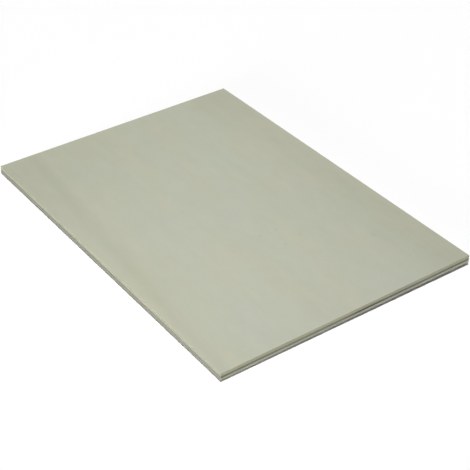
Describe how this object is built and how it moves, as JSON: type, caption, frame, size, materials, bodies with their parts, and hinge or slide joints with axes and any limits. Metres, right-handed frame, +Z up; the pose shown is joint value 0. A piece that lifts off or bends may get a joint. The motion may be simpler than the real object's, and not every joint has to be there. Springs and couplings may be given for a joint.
{
  "type": "plywood sheet",
  "caption": "Flat rectangular poplar plywood sheet: pale outer veneers over a darker cross-grain core, with square corners and eased arrises, for craft and light panel work.",
  "frame": {"origin": "middle of the underside, where the sheet rests", "axes": "+X across the sheet and the face grain, +Y along the sheet and the face grain, +Z up out of the face veneer"},
  "size_m": [0.21, 0.297, 0.006],
  "materials": {
    "poplar_face": "matte",
    "poplar_core": "matte",
    "poplar_back": "matte"
  },
  "bodies": {
    "root": {"face_veneer": "poplar_face", "core_veneer": "poplar_core", "back_veneer": "poplar_back"}
  },
  "joints": []
}
